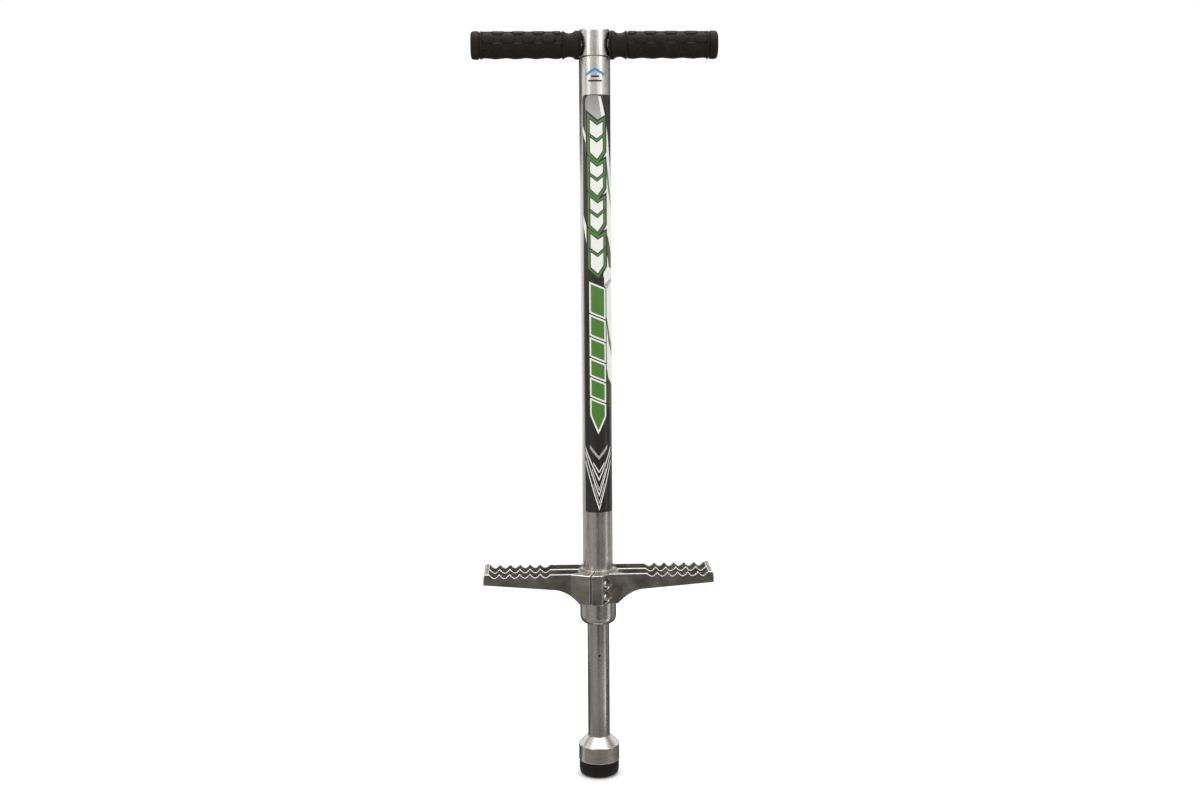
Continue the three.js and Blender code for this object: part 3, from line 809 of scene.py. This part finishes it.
def casting_cutters():
    """The tube's bore, the clamp's slot, the spaces under the gussets, and the bolts' holes."""
    bore = revolve(ring_profile(0, TUBE_R + 0.12, CUTTER_LOW_Z, CUTTER_HIGH_Z, 0), 128)
    half = 0.85
    slot = extrude([(-half, -60), (half, -60), (half, -12), (-half, -12)], CUTTER_LOW_Z, CUTTER_HIGH_Z)
    slot.transform(Matrix.Rotation(-SLOT_ANGLE, 4, "Z"))
    corner = [(x, z - 0.1) for x, z in gusset()]
    corner += [(GUSSET_END_X, CUTTER_LOW_Z), (GUSSET_START_X, CUTTER_LOW_Z)]
    tools = [bore, slot, slab(corner, -50, 50), slab([(-x, z) for x, z in corner], -50, 50)]
    for node in CLAMP_BOLTS:
        shank = revolve(rod(SCREW_HOLE_R, -11.3, BOLT_SEAT + 1), 48)
        recess = revolve(rod(6.5, BOLT_SEAT, 44), 64)
        tools += [along_bolt(shank, node), along_bolt(recess, node)]
    return tools


def make_casting():
    """Its parts are cut one by one, and a fine skin over them all softens every edge."""
    tools = casting_cutters()
    parts = []
    for part in [casting_hub(), casting_back(), casting_clamp()] + arm_walls(1) + arm_walls(-1):
        piece = carve(to_object("casting_part", part), tools)
        parts.append(bmesh.new())
        parts[-1].from_mesh(piece.data)
        bpy.data.objects.remove(piece)
    casting = merge("casting_shell", parts)
    remesh = casting.modifiers.new("skin", "REMESH")
    remesh.mode = "VOXEL"
    remesh.voxel_size = 0.5
    relax = casting.modifiers.new("relax", "SMOOTH")
    relax.iterations = 7
    apply_modifiers(casting)
    dress(casting, CAST_LOOK, "cast_aluminium", "footrest_casting", sharp=180)


def make_clamp_bolts():
    for node in CLAMP_BOLTS:
        top = BOLT_SEAT + 6
        profile = soften([
            (0, -11, 0), (3, -11), (3, BOLT_SEAT, 0), (5, BOLT_SEAT, 0.2), (5, top, 0.7), (0, top, 0),
        ], 0.3)
        bolt = socket_screw(profile, 2.9, 3.5, top, node + "_fine")
        along_bolt(bolt.data, node)
        dress(bolt, ZINC_LOOK, "zinc_steel", node)


# ---- piston and foot ----

def make_piston():
    """The inner tube, with a small vent hole in its front."""
    bottom, top = span_z("piston_tube")
    piston_wall = 2
    profile = ring_profile(PISTON_R - piston_wall, PISTON_R, bottom, top, 0.4)
    piston = to_object("piston_shell", revolve(profile, 160))
    vent_r, vent_x, vent_z = 1.3, 1, 159.5
    vent = revolve(rod(vent_r, -PISTON_R - 3, -6), 32)
    vent.transform(Matrix.Translation((vent_x, 0, vent_z)) @ AROUND_Y)
    carve(piston, [vent])
    dress(piston, PISTON_SHADED_LOOK, "brushed_aluminium", "piston_tube", body="piston")


def make_ferrule():
    bottom, top = span_z("foot_ferrule")
    outer = high("foot_ferrule").x
    bore = PISTON_R + SNUG
    ledge = 32.2  # the underside of the wall that holds the piston tube
    socket_r = 22
    ferrule = to_object("ferrule_shell", revolve(soften([
        (socket_r, bottom, 0.3), (outer, bottom, 0.5), (outer, top - 11.5, 1.3),
        (bore + 1.3, top, 1.2), (bore, top, 0.3), (bore, ledge, 0.3), (socket_r, ledge, 0.5),
    ], 0.4, steps=6), 160))
    hole = revolve(rod(SCREW_HOLE_R, 15, 30), 48)
    carve(ferrule, [lay(hole, middle_z("foot_set_screw"))])
    dress(ferrule, TURNED_LOOK, "turned_aluminium", "foot_ferrule", body="piston")


def make_rubber_foot():
    """The tip, with a shallow dish underneath and a plug that goes up into the ferrule."""
    top = low("foot_ferrule").z - SNUG
    outer = high("rubber_foot").x
    plug_r, plug_top = 21.7, high("rubber_foot").z
    dish = 0.6
    profile = soften([
        (0, dish, 0), (11, dish, 0.4), (11.6, 0, 0.4), (17.6, 0, 1.5), (outer - 0.9, 2.2, 6.5),
        (outer, 9, 4), (outer, top, 0.7), (plug_r, top, 0.2), (plug_r, plug_top, 0.8),
        (0, plug_top, 0),
    ], 0.5, steps=7)
    dress(to_object("foot_rubber_tip", revolve(profile, 160)), FOOT_LOOK, "black_rubber",
          "rubber_foot", body="piston", sharp=60)


def make_spring():
    """The coil between the thrust washer and its seat. It shortens as the piston slides in."""
    bottom, top = span_z("main_spring")
    wire_r = 2.25
    coil_r = 14.5
    turns = 24
    steps = turns * 28
    closed = 2 * wire_r + 0.4
    pitch = (top - bottom - 2 * wire_r - 2 * closed) / (turns - 2)
    bm = bmesh.new()
    rings = []
    sides = 12
    for i in range(steps + 1):
        turn = turns * i / steps
        middle = max(0, min(turns - 2, turn - 1))
        height = bottom + wire_r + closed * (turn - middle) + pitch * middle
        angle = 2 * pi * turn
        out = Vector((cos(angle), sin(angle), 0))
        centre = out * coil_r + Vector((0, 0, height))
        ring = []
        for side in range(sides):
            t = 2 * pi * side / sides
            rise = Vector((0, 0, wire_r * sin(t)))
            ring.append(bm.verts.new(centre + out * wire_r * cos(t) + rise))
        rings.append(ring)
    for first, second in zip(rings, rings[1:]):
        for side in range(sides):
            after = (side + 1) % sides
            bm.faces.new((first[side], first[after], second[after], second[side]))
    bm.faces.new(rings[0])
    bm.faces.new(rings[-1])
    face_out(bm)
    spring = dress(to_object("main_spring_coil", bm), SPRING_LOOK, "spring_steel", "main_spring")
    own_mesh(spring)


def paint_inner_nodes():
    """The hidden solids keep their shapes and take a finished material."""
    looks = {
        "guide_bushing": NYLON_LOOK, "piston_head": NYLON_LOOK, "rebound_bumper": FOOT_LOOK,
        "thrust_washer": ZINC_LOOK, "upper_spring_seat": TURNED_LOOK, "piston_head_pin": ZINC_LOOK,
        "foot_disc": ZINC_LOOK,
    }
    for node, look in looks.items():
        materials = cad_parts[node].data.materials
        materials.clear()
        materials.append(look)


# ---- printed film ----

# Places on the film are (along, up): millimetres round the tube from its front, towards +X, and
# millimetres above the floor.
FILM_LOW_Z = low("decal_wrap").z
FILM_HIGH_Z = high("decal_wrap").z
FILM_LEFT = -radians(53) * TUBE_R
FILM_RIGHT = radians(73) * TUBE_R
FILM_STEP = 0.03  # each layer of ink stands this much above the one below
FILM_STRIP = 0.6  # width of the flat strips that follow the tube's curve

BLACK_INK = film_ink("ink_black", (0.012, 0.011, 0.010))
WHITE_INK = film_ink("ink_white", (0.66, 0.655, 0.625))
GREEN_INK = film_ink("ink_green", (0.05, 0.16, 0.018))
SILVER_INK = film_ink("ink_silver", (0.62, 0.61, 0.59), ((0.2, 0.2, 0.2), 770, 860))
OLIVE_INK = film_ink("ink_olive", (0.035, 0.055, 0.012))


def grow(outline, amount):
    """Moves each edge of an outline outwards."""
    area = sum(a[0] * b[1] - b[0] * a[1] for a, b in zip(outline, outline[1:] + outline[:1]))
    sign = 1 if area > 0 else -1
    grown = []
    for i, point in enumerate(outline):
        here = Vector(point)
        into = (here - Vector(outline[i - 1])).normalized()
        out = (Vector(outline[(i + 1) % len(outline)]) - here).normalized()
        first = Vector((into.y, -into.x)) * sign
        second = Vector((out.y, -out.x)) * sign
        corner = first + second
        reach = 2 / max(corner.length_squared, 0.5)
        grown.append(tuple(here + corner * amount * reach))
    return grown


def ink(name, outlines, layer, look, *nodes):
    """Flat outlines cut into narrow strips, wrapped round the tube and given a little thickness."""
    bm = bmesh.new()
    for outline in outlines:
        clipped = [(max(FILM_LEFT + 0.02, min(FILM_RIGHT - 0.02, a)), z) for a, z in outline]
        bm.faces.new([bm.verts.new((a, 0, z)) for a, z in clipped])
    bmesh.ops.triangulate(bm, faces=bm.faces, ngon_method="EAR_CLIP")
    left = min(vert.co.x for vert in bm.verts)
    right = max(vert.co.x for vert in bm.verts)
    cuts = int((right - left) / FILM_STRIP)
    for i in range(1, cuts + 1):
        place = left + (right - left) * i / (cuts + 1)
        bmesh.ops.bisect_plane(bm, geom=bm.verts[:] + bm.edges[:] + bm.faces[:],
                               plane_co=(place, 0, 0), plane_no=(1, 0, 0), dist=1e-5)
    base_r = TUBE_R + 0.05
    for vert in bm.verts:
        vert.co.y = base_r
    for vert in double_sheet(bm):
        vert.co.y = base_r + FILM_STEP * (layer + 1)
    for vert in bm.verts:
        angle = vert.co.x / TUBE_R
        radius = vert.co.y
        vert.co.x = radius * sin(angle)
        vert.co.y = -radius * cos(angle)
    face_out(bm)
    return dress(to_object(name, bm), look, "printed_film", *nodes, sharp=50)


def film_outline():
    return soften([
        (FILM_LEFT, FILM_LOW_Z, 0), (FILM_RIGHT, FILM_LOW_Z, 0), (FILM_RIGHT, FILM_HIGH_Z, 6),
        (FILM_LEFT, FILM_HIGH_Z, 6),
    ], 6, steps=8)


def shield(top, bottom, left=-6.8, right=8.8):
    """A block with a notch in its upper edge and a blunt point at its lower end."""
    middle = (left + right) / 2 + 0.6
    return [
        (left, top), (middle, top - 7), (right, top - 3), (right, bottom + 10), (middle, bottom),
        (left, bottom + 8),
    ]


def slanted(left, right, top, bottom, slope=0.42):
    """A block whose upper and lower edges fall towards the right."""
    drop = (right - left) * slope
    return [(left, top), (right, top - drop), (right, bottom - drop), (left, bottom)]


def chevron(tip, rise, thick, left, right, middle):
    """A V with its point down."""
    return [
        (left, tip + rise), (middle, tip), (right, tip + rise), (right, tip + rise + thick),
        (middle, tip + thick), (left, tip + rise + thick),
    ]


def make_film_ground():
    """Black film with silver and pale sweeps over it."""
    ink("decal_film", [film_outline()], 0, BLACK_INK, "decal_wrap")
    left, right = FILM_LEFT, FILM_RIGHT
    silver = [
        (left + 4.5, 855), (left + 8, 860), (3, 860), (8, 838), (13, 815), (17, 795), (17, 640),
        (9, 640), (9, 815), (-8, 828), (-9, 786), (-11, 735), (left + 4.5, 800),
    ]
    ink("decal_silver_field", [silver], 1, SILVER_INK)
    pale = [
        [(3.5, 859), (6.5, 859), (12, 838), (17, 812), (21, 780), (right, 748), (right, 636),
         (10, 622), (9, 760), (9, 826)],
        [(left, 824), (left, 816), (-9, 792), (-10, 806)],
        [(left, 716), (left, 704), (-11.5, 676), (-11.5, 700)],
        [(10, 632), (right, 640), (right, 505), (11.5, 520)],
    ]
    ink("decal_pale_sweeps", pale, 2, WHITE_INK)
    blades = [
        [(12, 784), (14.5, 782), (20, 752), (right, 732), (right, 722), (17.5, 744)],
        [(12, 592), (13, 592), (19, 566), (right, 556), (right, 540), (16, 560)],
    ]
    ink("decal_green_blades", blades, 3, GREEN_INK)
    dark = [
        [(12, 698), (16, 690), (right, 668), (right, 650), (18, 652), (14.5, 668)],
        [(11.8, 531), (14, 524), (19, 500), (right, 492), (right, 478), (11, 478)],
    ]
    ink("decal_dark_blades", dark, 3, OLIVE_INK)


def make_upper_blocks():
    """Four white blocks in green and black outlines, nested in one another."""
    places = ((831, 784), (781, 740), (737, 696), (693, 645))
    blocks = [shield(top, bottom) for top, bottom in places]
    ink("decal_block_edge", [grow(block, 5.8) for block in blocks], 4, BLACK_INK)
    ink("decal_block_green", [grow(block, 3.7) for block in blocks], 5, GREEN_INK)
    ink("decal_block_line", [grow(block, 1.2) for block in blocks], 6, BLACK_INK)
    ink("decal_block_white", blocks, 7, WHITE_INK)
    splits = [chevron((top + bottom) / 2 - 3, 7, 2.6, -8, 10, 1.6) for top, bottom in places]
    ink("decal_split_edge", [grow(split, 1.0) for split in splits], 8, BLACK_INK)
    ink("decal_split_green", splits, 9, GREEN_INK)


def make_lower_blocks():
    """Green slanted blocks in white and black outlines, ending in an arrowhead."""
    left, right = -7.2, 9.6
    edges = ((632, 598), (592, 570), (564, 544), (538, 520), (514, 494))
    blocks = [slanted(left, right, top, bottom) for top, bottom in edges]
    middle = (left + right) / 2
    blocks.append([(left, 488), (right, 481), (right, 468), (middle, 450), (left, 470)])
    ink("decal_tail_edge", [grow(block, 3.5) for block in blocks], 4, BLACK_INK)
    ink("decal_tail_white", [grow(block, 2.0) for block in blocks], 5, WHITE_INK)
    ink("decal_tail_green", blocks, 6, GREEN_INK)


def make_chevrons():
    """Three wide white Vs, each with a narrow one inside it, under a grey one."""
    middle = 1.6
    left, right = FILM_LEFT + 0.8, FILM_RIGHT - 5.5
    grey = film_ink("ink_grey", (0.3, 0.29, 0.27))
    ink("decal_chevron_grey", [chevron(413, 14, 4.5, middle - 11.5, middle + 11.5, middle)], 2, grey)
    wide = ((386, 40, 3.2), (366, 54, 3.6), (348.5, 60, 4.2))
    narrow = ((396, 12, 2.2, 7), (374, 26, 2.0, 9), (357, 24, 2.0, 7))
    white = []
    for (tip, rise, thick), (inner_tip, inner_rise, inner_thick, half) in zip(wide, narrow):
        white.append(chevron(tip, rise, thick, left, right, middle))
        white.append(chevron(inner_tip, inner_rise, inner_thick, middle - half, middle + half, middle))
    for index, outline in enumerate(white):
        ink("decal_chevron_%d" % (index + 1), [outline], 2 + index % 2, WHITE_INK)


def make_badge():
    """A plain blue roof shape over two dark bars, in place of the printed mark."""
    blue = film_ink("ink_blue", (0.01, 0.17, 0.5))
    ink("badge_roof", [chevron(893, -7, -3.4, -12, 12, 0)], 0, blue, "badge_decal")
    bars = [slanted(-5, 5, 883.6, 881.4, 0), slanted(-8.5, 8.5, 878.4, 876.2, 0)]
    ink("badge_bars", bars, 0, BLACK_INK)


# ---- studio ----

CAMERA_DISTANCE = 1.921  # from the tube's axis, along the floor
CAMERA_HEIGHT = 0.739
CAMERA_TURN = radians(-2.0)
CAMERA_PITCH = radians(-7.51)
CAMERA_ROLL = radians(0.38)
CAMERA_AIM_X = 0.004  # how far beside the axis it looks
LENS = 46.4


def make_camera():
    data = bpy.data.cameras.new("camera")
    data.lens = LENS
    data.sensor_width = 36
    camera = add_object("camera", data)
    place = Vector((sin(CAMERA_TURN), -cos(CAMERA_TURN), 0)) * CAMERA_DISTANCE
    place.z = CAMERA_HEIGHT
    level = (Vector((CAMERA_AIM_X, 0, CAMERA_HEIGHT)) - place).normalized()
    forward = level * cos(CAMERA_PITCH) + Vector((0, 0, sin(CAMERA_PITCH)))
    right = level.cross(Vector((0, 0, 1))).normalized()
    up = right.cross(forward)
    rolled_right = right * cos(CAMERA_ROLL) - up * sin(CAMERA_ROLL)
    rolled_up = up * cos(CAMERA_ROLL) + right * sin(CAMERA_ROLL)
    turn = Matrix((rolled_right, rolled_up, -forward)).transposed().to_4x4()
    camera.matrix_world = Matrix.Translation(place) @ turn
    bpy.context.scene.camera = camera


def make_floor():
    bm = bmesh.new()
    bmesh.ops.create_circle(bm, cap_ends=True, segments=96, radius=14)
    ground = to_object("floor", bm)
    ground.location.z = -0.0002
    ground.data.materials.append(floor_paper())


def make_world():
    """A pale room, less bright overhead."""
    world = bpy.data.worlds.new("studio")
    bpy.context.scene.world = world
    world.use_nodes = True
    nodes, links = world.node_tree.nodes, world.node_tree.links
    coordinates = nodes.new("ShaderNodeTexCoord")
    split = nodes.new("ShaderNodeSeparateXYZ")
    links.new(coordinates.outputs["Generated"], split.inputs[0])
    ramp = nodes.new("ShaderNodeValToRGB")
    for stop, (height, grey) in zip(ramp.color_ramp.elements, ((0.35, 1), (0.7, 0.7))):
        stop.position = height
        stop.color = (grey, grey, grey, 1)
    links.new(split.outputs["Z"], ramp.inputs["Fac"])
    background = nodes["Background"]
    background.inputs["Strength"].default_value = 1.0
    links.new(ramp.outputs["Color"], background.inputs["Color"])


def glow_material():
    material = bpy.data.materials.new("reflector")
    material.use_nodes = True
    nodes, links = material.node_tree.nodes, material.node_tree.links
    nodes.remove(nodes["Principled BSDF"])
    glow = nodes.new("ShaderNodeAttribute")
    glow.attribute_name = "glow"
    emission = nodes.new("ShaderNodeEmission")
    emission.inputs["Color"].default_value = (1, 0.955, 0.905, 1)
    links.new(glow.outputs["Fac"], emission.inputs["Strength"])
    links.new(emission.outputs[0], nodes["Material Output"].inputs["Surface"])
    material.cycles.emission_sampling = "NONE"
    return material


def reflector(name, strips, ends, material):
    """Upright or level cards round the stick that only show up in reflections. strips holds the
    bearing where each strip starts, in degrees from the front towards +X, and its brightness;
    ends holds the (distance, height) of the strips' two ends."""
    bm = bmesh.new()
    layer = bm.faces.layers.float.new("glow")
    for (start, glow), (end, _) in zip(strips, strips[1:]):
        steps = max(1, round((end - start) / 6))
        for i in range(steps):
            corners = []
            for part in (i / steps, (i + 1) / steps):
                bearing = radians(start + (end - start) * part)
                out = Vector((sin(bearing), -cos(bearing)))
                corners.append([bm.verts.new((*(out * far), height)) for far, height in ends])
            face = bm.faces.new((corners[0][0], corners[1][0], corners[1][1], corners[0][1]))
            face[layer] = glow
    card = to_object(name, bm)
    card.data.materials.append(material)
    card.visible_camera = False
    card.visible_diffuse = False
    card.visible_transmission = False
    card.visible_volume_scatter = False
    card.visible_shadow = False


def make_reflectors():
    material = glow_material()
    foot_strips = (
        (-180, 0.04), (-125, 0.12), (-100, 0.55), (-82, 0.24), (-14, 0.19), (12, 0.21), (40, 0.28),
        (75, 0.2), (100, 0.14), (150, 0.04), (180, 0),
    )
    near_strips = (
        (-180, 0.05), (-125, 0.1), (-100, 0.3), (-62, 0.36), (-14, 0.27), (12, 0.33), (50, 0.38),
        (62, 1.6), (75, 0.12), (120, 0.1), (150, 0.05), (180, 0),
    )
    low_strips = (
        (-126, 0.42), (-92, 0.24), (-66, 0.34), (-14, 0.06), (10, 0.2), (34, 0.11), (50, 0.22),
        (64, 1.0), (76, 0.13), (98, 0.3), (122, 0),
    )
    high_strips = (
        (-118, 0.3), (-104, 1.1), (-80, 0.42), (-52, 0.56), (-12, 0.34), (10, 0.95), (30, 0.5),
        (48, 0.82), (64, 0.5), (84, 0.22), (110, 0),
    )
    cards = (
        ("foot", foot_strips, (0.05, 0.003), (0.2, 0.003)),
        ("near", near_strips, (0.2, 0.003), (0.5, 0.003)),
        ("behind", ((122, 0.1), (234, 0)), (0.5, 0.003), (1.0, 0.003)),
        ("behind_far", ((122, 0.5), (234, 0)), (1.0, 0.003), (2.45, 0.003)),
        ("low", low_strips, (0.5, 0.004), (2.45, 0.004)),
        ("middle", low_strips, (2.45, 0.004), (2.6, 0.55)),
        ("high", high_strips, (2.6, 0.93), (2.9, 3.0)),
        ("dark", ((114, 0.04), (246, 0)), (1.0, 0.8), (1.0, 1.6)),
    )
    for name, strips, *ends in cards:
        reflector(name + "_reflector", strips, ends, material)


def area_light(name, place, target, size, size_y, power):
    data = bpy.data.lights.new(name, "AREA")
    data.shape = "RECTANGLE"
    data.size = size
    data.size_y = size_y
    data.energy = power
    light = add_object(name, data)
    light.location = place
    light.rotation_euler = (Vector(target) - Vector(place)).to_track_quat("-Z", "Y").to_euler()


def make_lights():
    area_light("left_softbox", (-1.7, -1.5, 1.7), (0, 0, 0.6), 0.6, 1.2, 12)
    area_light("right_softbox", (1.6, -1.6, 1.7), (0, 0, 0.6), 0.6, 1.2, 12)
    area_light("top_softbox", (0, 0.5, 2.6), (0, 0, 0), 2.2, 1.6, 22)
    data = bpy.data.lights.new("ceiling", "SUN")
    data.energy = 1.25
    data.angle = radians(70)
    add_object("ceiling", data)


# ---- all of it ----

bpy.context.scene.view_settings.view_transform = "Standard"
make_camera()
make_floor()
make_world()
make_reflectors()
make_lights()

make_tube()
make_head_cap()
make_handlebar()
make_rivets()
make_grub_screws()
make_seat_pin()
make_lower_cap()
make_grips()
make_grip_rings()
make_casting()
make_clamp_bolts()
make_piston()
make_ferrule()
make_rubber_foot()
make_spring()
paint_inner_nodes()
make_film_ground()
make_upper_blocks()
make_lower_blocks()
make_chevrons()
make_badge()
